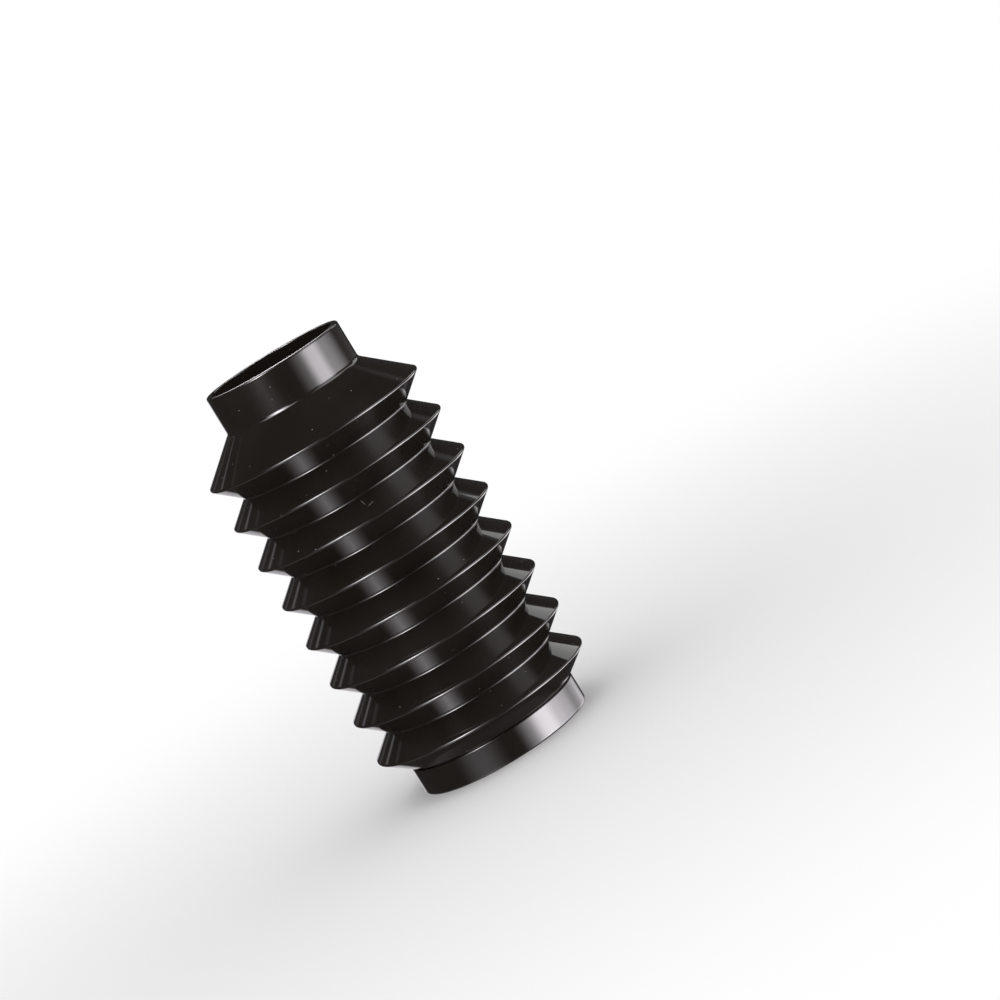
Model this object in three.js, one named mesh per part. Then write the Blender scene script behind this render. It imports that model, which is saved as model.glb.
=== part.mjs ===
// A rubber fork cover: one hollow moulding that keeps dirt off the sliding tube of a motorbike fork.
// From the bottom up it has a cuff that grips the top of the fork leg, a run of sharp V folds,
// and a plain collar that grips the fork tube.
// Millimetres, +Z up along the tube, with the origin in the middle of the cuff's lower rim.

import * as THREE from "three";

// Driving dimensions

const foldCount = 8;
const foldPitch = 16.4;
const ridgeRadius = 42.7;
const valleyRadius = 33.9;
const wall = 1.5;
const ridgeRound = 0.9;
const valleyRound = 0.5;
const innerRidgeRound = 0.6;

const cuffRadius = 33.3;
const cuffBoreRadius = 30.25;
const cuffHeight = 10.5;
const cuffTopRound = 0.4;
const cuffBottomRound = 0.75;
const neckRise = 8.1;

const collarBoreRadius = 24.5;
const collarWall = 2.5;
const collarHeight = 14;
const collarRound = 0.8;
const shoulderRound = 2;

// Facets of the revolved surface and of its rounds

const facetsAround = 48;
const roundSteps = 2;
const ridgeSteps = 4;
const valleySteps = 2;

// Sizes that follow from the driving dimensions

const neckRadius = cuffBoreRadius + wall;
const bottomRidgeHeight = cuffHeight + neckRise;
const topRidgeHeight = bottomRidgeHeight + (foldCount - 1) * foldPitch;
const ridgeCentreRadius = ridgeRadius - ridgeRound;
const valleyCentreRadius = valleyRadius + valleyRound;
const collarRadius = collarBoreRadius + collarWall;

// The angle from the axis of a flank that runs up a given way along the axis and out a given way
// across it, between the centres of two rounds whose radii add up to `rounds`, and touches both.
function flankAngle(across, along, rounds) {
  return Math.atan2(across, along) + Math.asin(rounds / Math.hypot(across, along));
}

const foldAngle = flankAngle(
  ridgeCentreRadius - valleyCentreRadius,
  foldPitch / 2,
  ridgeRound + valleyRound,
);
const neckAngle = flankAngle(ridgeCentreRadius - neckRadius, neckRise, ridgeRound);

const innerRidgeCentreRadius =
  ridgeCentreRadius - (wall + innerRidgeRound - ridgeRound) / Math.cos(foldAngle);

function ridgeHeight(fold) {
  return bottomRidgeHeight + fold * foldPitch;
}

// The height at which a line parallel to the top flank, `outward` of it, passes a given radius.
function topFlankHeight(radius, outward) {
  const across = (radius - ridgeCentreRadius) * Math.cos(foldAngle);
  return topRidgeHeight + (ridgeRound + outward - across) / Math.sin(foldAngle);
}

const shoulderCentreRadius = collarRadius + shoulderRound;
const shoulderCentreHeight = topFlankHeight(shoulderCentreRadius, shoulderRound);
const collarTop = shoulderCentreHeight + collarHeight;

// Points of a circular arc in the section, where x is the radius and y the height.
function arc(centreRadius, centreHeight, radius, fromAngle, toAngle, steps) {
  const points = [];
  for (let step = 0; step <= steps; step += 1) {
    const angle = fromAngle + ((toAngle - fromAngle) * step) / steps;
    points.push(
      new THREE.Vector2(
        centreRadius + radius * Math.cos(angle),
        centreHeight + radius * Math.sin(angle),
      ),
    );
  }
  return points;
}

// The cuff's outside, from its lower rim up to the neck.
function cuffOutside() {
  return [
    ...arc(
      cuffRadius - cuffBottomRound,
      cuffBottomRound,
      cuffBottomRound,
      -Math.PI / 2,
      0,
      roundSteps,
    ),
    ...arc(
      cuffRadius - cuffTopRound,
      cuffHeight - cuffTopRound,
      cuffTopRound,
      0,
      Math.PI / 2,
      roundSteps,
    ),
    new THREE.Vector2(neckRadius, cuffHeight),
  ];
}

// The folds' outside, from the lowest ridge up to the highest.
function foldsOutside() {
  const points = [];
  for (let fold = 0; fold < foldCount; fold += 1) {
    const lowerAngle = fold === 0 ? neckAngle : foldAngle;
    points.push(
      ...arc(ridgeCentreRadius, ridgeHeight(fold), ridgeRound, -lowerAngle, foldAngle, ridgeSteps),
    );
    if (fold < foldCount - 1) {
      points.push(
        ...arc(
          valleyCentreRadius,
          ridgeHeight(fold) + foldPitch / 2,
          valleyRound,
          Math.PI + foldAngle,
          Math.PI - foldAngle,
          valleySteps,
        ),
      );
    }
  }
  return points;
}

// The shoulder and the collar's outside, up to its top rim.
function collarOutside() {
  return [
    ...arc(
      shoulderCentreRadius,
      shoulderCentreHeight,
      shoulderRound,
      Math.PI + foldAngle,
      Math.PI,
      roundSteps,
    ),
    ...arc(collarRadius - collarRound, collarTop - collarRound, collarRound, 0, Math.PI / 2, roundSteps),
  ];
}

// The collar's bore, from the top rim down to the inside of the top flank.
function collarBore() {
  return [
    new THREE.Vector2(collarBoreRadius, collarTop),
    new THREE.Vector2(collarBoreRadius, topFlankHeight(collarBoreRadius, -wall)),
  ];
}

// The folds' inside, one wall behind the outside, from the highest ridge down to the lowest.
function foldsInside() {
  const points = [];
  for (let fold = foldCount - 1; fold >= 0; fold -= 1) {
    const lowerAngle = fold === 0 ? neckAngle : foldAngle;
    points.push(
      ...arc(innerRidgeCentreRadius, ridgeHeight(fold), innerRidgeRound, foldAngle, -lowerAngle, 1),
    );
    if (fold > 0) {
      points.push(
        ...arc(
          valleyCentreRadius,
          ridgeHeight(fold) - foldPitch / 2,
          valleyRound + wall,
          Math.PI - foldAngle,
          Math.PI + foldAngle,
          roundSteps,
        ),
      );
    }
  }
  return points;
}

// The cuff's bore, from the inside of the lowest flank down to the lower rim.
function cuffBore() {
  const flankRadius = innerRidgeCentreRadius + innerRidgeRound * Math.cos(neckAngle);
  const flankHeight = bottomRidgeHeight - innerRidgeRound * Math.sin(neckAngle);
  const boreTop = flankHeight - (flankRadius - cuffBoreRadius) / Math.tan(neckAngle);
  return [new THREE.Vector2(cuffBoreRadius, boreTop), new THREE.Vector2(cuffBoreRadius, 0)];
}

function makeGaiter() {
  const section = [
    ...cuffOutside(),
    ...foldsOutside(),
    ...collarOutside(),
    ...collarBore(),
    ...foldsInside(),
    ...cuffBore(),
  ];
  section.push(section[0].clone());
  const rubber = new THREE.MeshStandardMaterial({ color: 0x1b1918, roughness: 0.3, metalness: 0 });
  const mesh = new THREE.Mesh(new THREE.LatheGeometry(section, facetsAround), rubber);
  mesh.name = "gaiter";
  mesh.rotation.x = Math.PI / 2;
  return mesh;
}

const forkCover = new THREE.Group();
forkCover.add(makeGaiter());

export default forkCover;
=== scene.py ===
"""A glossy black rubber fork cover, standing on a pale floor in soft studio light."""

import math

import bpy
from mathutils import Matrix, Vector


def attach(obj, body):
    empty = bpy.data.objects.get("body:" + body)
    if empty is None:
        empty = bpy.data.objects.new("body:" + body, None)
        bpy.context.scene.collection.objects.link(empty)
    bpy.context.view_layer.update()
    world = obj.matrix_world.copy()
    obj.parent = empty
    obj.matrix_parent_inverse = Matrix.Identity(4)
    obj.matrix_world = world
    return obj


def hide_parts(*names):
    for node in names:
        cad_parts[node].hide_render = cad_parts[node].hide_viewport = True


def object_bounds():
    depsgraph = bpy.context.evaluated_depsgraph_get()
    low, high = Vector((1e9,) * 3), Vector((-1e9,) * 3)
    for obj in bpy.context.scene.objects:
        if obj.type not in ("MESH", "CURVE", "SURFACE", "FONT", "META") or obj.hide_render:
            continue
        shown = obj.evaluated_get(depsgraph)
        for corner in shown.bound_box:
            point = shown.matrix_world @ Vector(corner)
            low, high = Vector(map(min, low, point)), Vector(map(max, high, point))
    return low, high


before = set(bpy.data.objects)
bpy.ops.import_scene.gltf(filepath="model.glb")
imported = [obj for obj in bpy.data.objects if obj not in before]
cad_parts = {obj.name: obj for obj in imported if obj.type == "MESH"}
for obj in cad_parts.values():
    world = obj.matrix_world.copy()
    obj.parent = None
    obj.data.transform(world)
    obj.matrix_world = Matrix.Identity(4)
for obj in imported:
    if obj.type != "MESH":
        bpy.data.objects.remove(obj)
cad_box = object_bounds()

# Sizes in metres

FOLD_COUNT = 8
FOLD_PITCH = 0.0164
RIDGE_RADIUS = 0.0427
VALLEY_RADIUS = 0.0339
WALL = 0.0015
RIDGE_ROUND = 0.0007
VALLEY_ROUND = 0.0005
INNER_RIDGE_ROUND = 0.0006

CUFF_RADIUS = 0.0333
CUFF_BORE_RADIUS = 0.03025
CUFF_HEIGHT = 0.0105
CUFF_TOP_ROUND = 0.0004
CUFF_BOTTOM_ROUND = 0.00075
NECK_RISE = 0.0081
NECK_RADIUS = 0.0328

COLLAR_BORE_RADIUS = 0.0245
COLLAR_WALL = 0.0025
COLLAR_ROUND = 0.0008
COLLAR_INNER_ROUND = 0.0004
SHOULDER_ROUND = 0.002

STEPS_AROUND = 256
STEPS_PER_ROUND = 6
INNER_RIDGE_STEPS = 2
INNER_VALLEY_STEPS = 4

# The camera of the photograph

LENS = 142.992
SENSOR = 36.0
AIM_HEIGHT = 0.0757
DISTANCE = 1.41686
ELEVATION = math.radians(8.634)
PAN = math.radians(1.7633)
TILT = math.radians(0.0417)
ROLL = math.radians(-31.127)

# The softboxes, in degrees: azimuth 0 is toward the camera and positive to its right. Width and
# height are measured from the middle, and the edge fades over soft degrees to either side.

SOFTBOXES = {
    "left key": {"azimuth": -34, "elevation": 27, "width": 4, "height": 15, "soft": 20, "light": 60},
    "left sky": {"azimuth": -36, "elevation": 42, "width": 31, "height": 10, "soft": 12, "light": 5.8},
    "left low": {"azimuth": -36, "elevation": -30, "width": 19, "height": 11, "soft": 18, "light": 5.2},
    "right key": {"azimuth": 69, "elevation": -21, "width": 31, "height": 3, "soft": 23, "light": 36},
    "right tall": {"azimuth": 59, "elevation": -14, "width": 14, "height": 29, "soft": 9, "light": 6.7},
    "right sky": {"azimuth": 74, "elevation": 39, "width": 27, "height": 9, "soft": 19, "light": 5.7},
    "right far": {"azimuth": 127, "elevation": -19, "width": 27, "height": 5, "soft": 10, "light": 6.4},
    "right rim": {"azimuth": 121, "elevation": 26, "width": 21, "height": 3, "soft": 7, "light": 2.5},
    "left line": {"azimuth": -151, "elevation": 21, "width": 1.2, "height": 4, "soft": 1.2, "light": 0.4},
    "left edge": {"azimuth": -161, "elevation": 10, "width": 1.5, "height": 4, "soft": 2, "light": 0.11},
    "left faint": {"azimuth": -141, "elevation": 32, "width": 1, "height": 4, "soft": 2, "light": 0.17},
    "backdrop": {"azimuth": -171, "elevation": -13, "width": 8, "height": 13, "soft": 2, "light": 0.74},
    "floor": {"azimuth": -10, "elevation": -58, "width": 121, "height": 32, "soft": 20, "light": 0.43},
    "back key": {"azimuth": 180, "elevation": 45, "width": 12, "height": 16, "soft": 12, "light": 20},
}
SOFTBOX_TINT = (1, 0.965, 1.005)
ROOM_LIGHT = 0.036
WHITE = (1, 1, 1, 1)

# The side card, whose outline is given along its foot line and upward, and the floor

CARD_PLACE = (0.322, 0.365, 0)
CARD_TURN = math.radians(143)
CARD_OUTLINE = [(-0.13, 0.17), (0.077, 0.17), (0.01, 0.371), (-0.13, 0.371)]
CARD_LIGHT = 1.45

FLOOR_COLOUR = (0.86, 0.86, 0.86, 1)
FLOOR_ROUGHNESS = 0.9
FLOOR_HALF = 3
FLOOR_FADE = (0.12, 0.5)

# The rubber

DARK_RUBBER = (0.0135, 0.0105, 0.0082, 1)
WORN_RUBBER = (0.0185, 0.0148, 0.0125, 1)
CLOUD_LENGTH = 0.03
CLOUD_RANGE = (0.35, 0.7)

GLOSSY_ROUGHNESS = 0.035
DULL_ROUGHNESS = 0.075
GLOSS_LENGTH = 0.012
GLOSS_RANGE = (0.3, 0.75)
WAVE_LENGTH = 0.009
WAVE_DEPTH = 0.000012

DUST = (0.34, 0.32, 0.3, 1)
DUST_ROUGHNESS = 0.6
SPECK_SPACING = 0.0058
SPECK_RADIUS = 0.00024
SMUDGE_SPACING = 0.009
SMUDGE_RADIUS = 0.0006
SMUDGE_SHARE = 0.08
SCUFFS = [
    ((0.0011, -0.0355, 0.1072), (0.0016, -0.0371, 0.1058)),
    ((0.0025, -0.0382, 0.1048), (0.0045, -0.0376, 0.1051)),
]
SCUFF_RADIUS = 0.0002
SCUFF_SHARE = 0.4

# Sizes that follow from the ones above


def flank_angle(across, along, rounds):
    """Angle from the axis of a flank that touches two rounds whose radii add up to rounds."""
    return math.atan2(across, along) + math.asin(rounds / math.hypot(across, along))


RIDGE_CENTRE = RIDGE_RADIUS - RIDGE_ROUND
VALLEY_CENTRE = VALLEY_RADIUS + VALLEY_ROUND
FOLD_ANGLE = flank_angle(RIDGE_CENTRE - VALLEY_CENTRE, FOLD_PITCH / 2, RIDGE_ROUND + VALLEY_ROUND)
NECK_ANGLE = flank_angle(RIDGE_CENTRE - NECK_RADIUS, NECK_RISE, RIDGE_ROUND)
INNER_RIDGE_CENTRE = RIDGE_CENTRE - (WALL + INNER_RIDGE_ROUND - RIDGE_ROUND) / math.cos(FOLD_ANGLE)
BOTTOM_RIDGE = CUFF_HEIGHT + NECK_RISE
TOP_RIDGE = BOTTOM_RIDGE + (FOLD_COUNT - 1) * FOLD_PITCH


def top_flank_height(radius, outward):
    """Height at which a line outward of the top flank and parallel to it passes a radius."""
    across = (radius - RIDGE_CENTRE) * math.cos(FOLD_ANGLE)
    return TOP_RIDGE + (RIDGE_ROUND + outward - across) / math.sin(FOLD_ANGLE)


COLLAR_RADIUS = COLLAR_BORE_RADIUS + COLLAR_WALL
COLLAR_TOP = cad_box[1][2]
SHOULDER_CENTRE = COLLAR_RADIUS + SHOULDER_ROUND
SHOULDER_HEIGHT = top_flank_height(SHOULDER_CENTRE, SHOULDER_ROUND)
QUARTER_TURN = math.pi / 2


def arc(centre, height, radius, start, end, steps=STEPS_PER_ROUND):
    """Section points of an arc as (radius, height, normal out, normal up)."""
    facing = 1 if end > start else -1
    points = []
    for step in range(steps + 1):
        angle = start + (end - start) * step / steps
        out, up = math.cos(angle), math.sin(angle)
        points.append((centre + radius * out, height + radius * up, facing * out, facing * up))
    return points


def edge_point(radius, height, out, up):
    """The section point of a sharp edge, with the normal of one of the faces that meet there."""
    return [(radius, height, out, up)]


def outside():
    """The outside of the section, from the lower rim to the collar's top."""
    points = arc(CUFF_RADIUS - CUFF_BOTTOM_ROUND, CUFF_BOTTOM_ROUND, CUFF_BOTTOM_ROUND, -QUARTER_TURN, 0)
    points += arc(CUFF_RADIUS - CUFF_TOP_ROUND, CUFF_HEIGHT - CUFF_TOP_ROUND, CUFF_TOP_ROUND, 0, QUARTER_TURN)
    points += edge_point(NECK_RADIUS, CUFF_HEIGHT, 0, 1)
    points += edge_point(NECK_RADIUS, CUFF_HEIGHT, math.cos(NECK_ANGLE), -math.sin(NECK_ANGLE))
    for fold in range(FOLD_COUNT):
        height = BOTTOM_RIDGE + fold * FOLD_PITCH
        lower = NECK_ANGLE if fold == 0 else FOLD_ANGLE
        points += arc(RIDGE_CENTRE, height, RIDGE_ROUND, -lower, FOLD_ANGLE)
        if fold < FOLD_COUNT - 1:
            middle = height + FOLD_PITCH / 2
            points += arc(VALLEY_CENTRE, middle, VALLEY_ROUND, math.pi + FOLD_ANGLE, math.pi - FOLD_ANGLE)
    points += arc(SHOULDER_CENTRE, SHOULDER_HEIGHT, SHOULDER_ROUND, math.pi + FOLD_ANGLE, math.pi)
    points += arc(COLLAR_RADIUS - COLLAR_ROUND, COLLAR_TOP - COLLAR_ROUND, COLLAR_ROUND, 0, QUARTER_TURN)
    return points


def inside():
    """The inside of the section, from the collar's top down to the lower rim."""
    rim = COLLAR_INNER_ROUND
    points = arc(COLLAR_BORE_RADIUS + rim, COLLAR_TOP - rim, rim, QUARTER_TURN, math.pi)
    shoulder = top_flank_height(COLLAR_BORE_RADIUS, -WALL)
    points += edge_point(COLLAR_BORE_RADIUS, shoulder, -1, 0)
    points += edge_point(COLLAR_BORE_RADIUS, shoulder, -math.cos(FOLD_ANGLE), -math.sin(FOLD_ANGLE))
    for fold in reversed(range(FOLD_COUNT)):
        height = BOTTOM_RIDGE + fold * FOLD_PITCH
        lower = NECK_ANGLE if fold == 0 else FOLD_ANGLE
        points += arc(INNER_RIDGE_CENTRE, height, INNER_RIDGE_ROUND, FOLD_ANGLE, -lower, INNER_RIDGE_STEPS)
        if fold > 0:
            points += arc(
                VALLEY_CENTRE,
                height - FOLD_PITCH / 2,
                VALLEY_ROUND + WALL,
                math.pi - FOLD_ANGLE,
                math.pi + FOLD_ANGLE,
                INNER_VALLEY_STEPS,
            )
    flank_radius, flank_height = points[-1][:2]
    bore_top = flank_height - (flank_radius - CUFF_BORE_RADIUS) / math.tan(NECK_ANGLE)
    points += edge_point(CUFF_BORE_RADIUS, bore_top, -math.cos(NECK_ANGLE), math.sin(NECK_ANGLE))
    points += edge_point(CUFF_BORE_RADIUS, bore_top, -1, 0)
    points += edge_point(CUFF_BORE_RADIUS, 0, -1, 0)
    points += edge_point(CUFF_BORE_RADIUS, 0, 0, -1)
    return points


def add_object(name, vertices, faces, material):
    """A mesh object in one material."""
    mesh = bpy.data.meshes.new(name)
    mesh.from_pydata(vertices, [], faces)
    mesh.materials.append(material)
    thing = bpy.data.objects.new(name, mesh)
    bpy.context.collection.objects.link(thing)
    return thing


def make_gaiter(rubber):
    """The section turned about the axis, with the true normals of its rounds and flanks."""
    section = outside() + inside()
    count = len(section)
    vertices = []
    normals = []
    faces = []
    for step in range(STEPS_AROUND):
        turn = 2 * math.pi * step / STEPS_AROUND
        x, y = math.cos(turn), math.sin(turn)
        for radius, height, out, up in section:
            vertices.append((radius * x, radius * y, height))
            normals.append((out * x, out * y, up))
        here = step * count
        there = (step + 1) % STEPS_AROUND * count
        for point in range(count):
            after = (point + 1) % count
            if section[point][:2] != section[after][:2]:
                faces.append((here + point, there + point, there + after, here + after))
    gaiter = add_object("gaiter_skin", vertices, faces, rubber)
    gaiter.data.polygons.foreach_set("use_smooth", [True] * len(faces))
    gaiter.data.normals_split_custom_set_from_vertices(normals)
    gaiter.data.update()
    return gaiter


def make_camera():
    """The photograph's camera, aimed a little to the side of the axis and rolled."""
    place = Vector((0, -math.cos(ELEVATION), math.sin(ELEVATION))) * DISTANCE
    ahead = -place.normalized()
    right = ahead.cross(Vector((0, 0, 1))).normalized()
    ahead = (ahead + math.tan(PAN) * right + math.tan(TILT) * right.cross(ahead)).normalized()
    right = ahead.cross(Vector((0, 0, 1))).normalized()
    right = right * math.cos(ROLL) + right.cross(ahead) * math.sin(ROLL)
    data = bpy.data.cameras.new("camera")
    data.lens = LENS
    data.sensor_width = SENSOR
    camera = bpy.data.objects.new("camera", data)
    turned = Matrix((right, right.cross(ahead), -ahead)).transposed().to_4x4()
    camera.matrix_world = Matrix.Translation(place + Vector((0, 0, AIM_HEIGHT))) @ turned
    bpy.context.collection.objects.link(camera)
    bpy.context.scene.camera = camera


def add_material(name):
    """A new material and its node tree."""
    material = bpy.data.materials.new(name)
    material.use_nodes = True
    return material, material.node_tree


def feed(tree, socket, value):
    """Sets an input to a value, or links it to the socket that the value comes from."""
    if isinstance(value, bpy.types.NodeSocket):
        tree.links.new(value, socket)
    else:
        socket.default_value = value


def operation_node(tree, kind, operation, values):
    """A node that works out an operation on values, which are fed to its inputs in order."""
    node = tree.nodes.new(kind)
    node.operation = operation
    for socket, value in zip(node.inputs, values):
        feed(tree, socket, value)
    return node


def math_node(tree, operation, *values):
    """The result of an operation on numbers."""
    return operation_node(tree, "ShaderNodeMath", operation, values).outputs["Value"]


def vector_node(tree, operation, *values):
    """The result of an operation on vectors."""
    node = operation_node(tree, "ShaderNodeVectorMath", operation, values)
    return node.outputs["Value" if operation in ("DOT_PRODUCT", "DISTANCE", "LENGTH") else "Vector"]


def scaled(tree, vector, factor):
    """A vector times a number."""
    node = operation_node(tree, "ShaderNodeVectorMath", "SCALE", [vector])
    feed(tree, node.inputs["Scale"], factor)
    return node.outputs["Vector"]


def clamped(tree, value):
    """A value held between 0 and 1."""
    node = tree.nodes.new("ShaderNodeClamp")
    feed(tree, node.inputs["Value"], value)
    return node.outputs["Result"]


def soft_step(tree, value, from_value, to_value, low=0.0, high=1.0):
    """A smooth step from low at one value to high at another."""
    node = tree.nodes.new("ShaderNodeMapRange")
    node.interpolation_type = "SMOOTHSTEP"
    inputs = {"Value": value, "From Min": from_value, "From Max": to_value, "To Min": low, "To Max": high}
    for name, item in inputs.items():
        feed(tree, node.inputs[name], item)
    return node.outputs["Result"]


def blend(tree, factor, low, high):
    """A colour between two colours."""
    node = tree.nodes.new("ShaderNodeMix")
    node.data_type = "RGBA"
    for name, value in (("Factor", factor), ("A", low), ("B", high)):
        feed(tree, node.inputs[name], value)
    return node.outputs["Result"]


def noise(tree, place, length, detail):
    """A noise between 0 and 1 with features of about a given length."""
    node = tree.nodes.new("ShaderNodeTexNoise")
    for name, value in (("Vector", place), ("Scale", 1 / length), ("Detail", detail)):
        feed(tree, node.inputs[name], value)
    return node.outputs[0]


def specks(tree, place, spacing, radius):
    """A mask of small round specks, scattered in space and cut by the surface."""
    node = tree.nodes.new("ShaderNodeTexVoronoi")
    for name, value in (("Vector", place), ("Scale", 1 / spacing)):
        feed(tree, node.inputs[name], value)
    reach = radius / spacing
    return soft_step(tree, node.outputs["Distance"], reach, reach / 2)


def stroke(tree, place, start, end, radius):
    """A mask of a short thin mark between two points."""
    run = Vector(end) - Vector(start)
    offset = vector_node(tree, "SUBTRACT", place, start)
    along = vector_node(tree, "DOT_PRODUCT", offset, run / run.length_squared)
    nearest = scaled(tree, run, clamped(tree, along))
    away = vector_node(tree, "DISTANCE", offset, nearest)
    return soft_step(tree, away, radius, radius / 2)


def make_rubber():
    """Glossy black rubber: faint waves of the moulding, cloudy gloss, smudges and specks of dust."""
    material, tree = add_material("black_rubber")
    shader = tree.nodes["Principled BSDF"]
    place = tree.nodes.new("ShaderNodeTexCoord").outputs["Object"]
    dust = specks(tree, place, SPECK_SPACING, SPECK_RADIUS)
    smudges = specks(tree, place, SMUDGE_SPACING, SMUDGE_RADIUS)
    dirt = math_node(tree, "MAXIMUM", dust, math_node(tree, "MULTIPLY", smudges, SMUDGE_SHARE))
    for start, end in SCUFFS:
        scuff = math_node(tree, "MULTIPLY", stroke(tree, place, start, end, SCUFF_RADIUS), SCUFF_SHARE)
        dirt = math_node(tree, "MAXIMUM", dirt, scuff)
    cloudy = soft_step(tree, noise(tree, place, CLOUD_LENGTH, detail=3), *CLOUD_RANGE)
    skin = blend(tree, cloudy, DARK_RUBBER, WORN_RUBBER)
    feed(tree, shader.inputs["Base Color"], blend(tree, dirt, skin, DUST))
    patches = noise(tree, place, GLOSS_LENGTH, detail=4)
    clean = soft_step(tree, patches, *GLOSS_RANGE, GLOSSY_ROUGHNESS, DULL_ROUGHNESS)
    dusty = math_node(tree, "MULTIPLY", dirt, DUST_ROUGHNESS)
    feed(tree, shader.inputs["Roughness"], math_node(tree, "ADD", clean, dusty))
    bump = tree.nodes.new("ShaderNodeBump")
    bump.inputs["Distance"].default_value = WAVE_DEPTH
    feed(tree, bump.inputs["Height"], noise(tree, place, WAVE_LENGTH, detail=1))
    feed(tree, shader.inputs["Normal"], bump.outputs["Normal"])
    return material


def softbox_light(tree, azimuth, elevation, box):
    """The light that one softbox sends from a direction."""
    turn = math_node(tree, "SUBTRACT", azimuth, math.radians(box["azimuth"]))
    aside = math_node(tree, "ABSOLUTE", math_node(tree, "WRAP", turn, math.pi, -math.pi))
    rise = math_node(tree, "SUBTRACT", elevation, math.radians(box["elevation"]))
    above = math_node(tree, "ABSOLUTE", rise)
    soft = math.radians(box["soft"])
    width = math.radians(box["width"])
    height = math.radians(box["height"])
    across = soft_step(tree, aside, width + soft, width - soft, high=box["light"])
    along = soft_step(tree, above, height + soft, height - soft)
    return math_node(tree, "MULTIPLY", across, along)


def make_world():
    """A white studio; glossy surfaces show its softboxes and its dim room instead of plain white."""
    world = bpy.data.worlds.new("studio")
    world.use_nodes = True
    world.cycles.sampling_method = "NONE"
    tree = world.node_tree
    split = tree.nodes.new("ShaderNodeSeparateXYZ")
    feed(tree, split.inputs[0], tree.nodes.new("ShaderNodeTexCoord").outputs["Generated"])
    x, y, z = split.outputs
    azimuth = math_node(tree, "ARCTAN2", x, math_node(tree, "MULTIPLY", y, -1))
    elevation = math_node(tree, "ARCSINE", z)
    light = ROOM_LIGHT
    for box in SOFTBOXES.values():
        light = math_node(tree, "ADD", light, softbox_light(tree, azimuth, elevation, box))
    glossy = tree.nodes.new("ShaderNodeLightPath").outputs["Is Glossy Ray"]
    colour = blend(tree, glossy, WHITE, scaled(tree, SOFTBOX_TINT, light))
    feed(tree, tree.nodes["Background"].inputs["Color"], colour)
    bpy.context.scene.world = world


def make_side_card():
    """A pale card beside the part, which shows only as grey patches on the tips of the lower folds."""
    material, tree = add_material("side_card")
    glow = tree.nodes.new("ShaderNodeEmission")
    glow.inputs["Strength"].default_value = CARD_LIGHT
    feed(tree, tree.nodes["Material Output"].inputs["Surface"], glow.outputs[0])
    foot = Vector((math.cos(CARD_TURN), math.sin(CARD_TURN), 0))
    corners = [Vector(CARD_PLACE) + along * foot + Vector((0, 0, up)) for along, up in CARD_OUTLINE]
    card = add_object("side_card", corners, [(0, 1, 2, 3)], material)
    card.visible_camera = False
    card.visible_diffuse = False
    card.visible_transmission = False
    card.visible_shadow = False


def make_floor():
    """A pale floor with the part's soft shadow, which turns into the white background further out."""
    material, tree = add_material("pale_floor")
    shader = tree.nodes["Principled BSDF"]
    shader.inputs["Base Color"].default_value = FLOOR_COLOUR
    shader.inputs["Roughness"].default_value = FLOOR_ROUGHNESS
    shader.inputs["Specular IOR Level"].default_value = 0
    place = tree.nodes.new("ShaderNodeNewGeometry").outputs["Position"]
    fade = soft_step(tree, vector_node(tree, "LENGTH", place), *FLOOR_FADE)
    seen = tree.nodes.new("ShaderNodeLightPath").outputs["Is Camera Ray"]
    white = tree.nodes.new("ShaderNodeEmission")
    mix = tree.nodes.new("ShaderNodeMixShader")
    feed(tree, mix.inputs[0], math_node(tree, "MULTIPLY", fade, seen))
    feed(tree, mix.inputs[1], shader.outputs[0])
    feed(tree, mix.inputs[2], white.outputs[0])
    feed(tree, tree.nodes["Material Output"].inputs["Surface"], mix.outputs[0])
    square = [(-1, -1), (1, -1), (1, 1), (-1, 1)]
    corners = [(FLOOR_HALF * x, FLOOR_HALF * y, 0) for x, y in square]
    floor = add_object("floor", corners, [(0, 1, 2, 3)], material)
    floor.visible_glossy = False


make_camera()
make_world()
make_side_card()
make_floor()
bpy.context.scene.view_settings.view_transform = "Standard"

gaiter = make_gaiter(make_rubber())
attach(gaiter, "root")
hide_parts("gaiter")
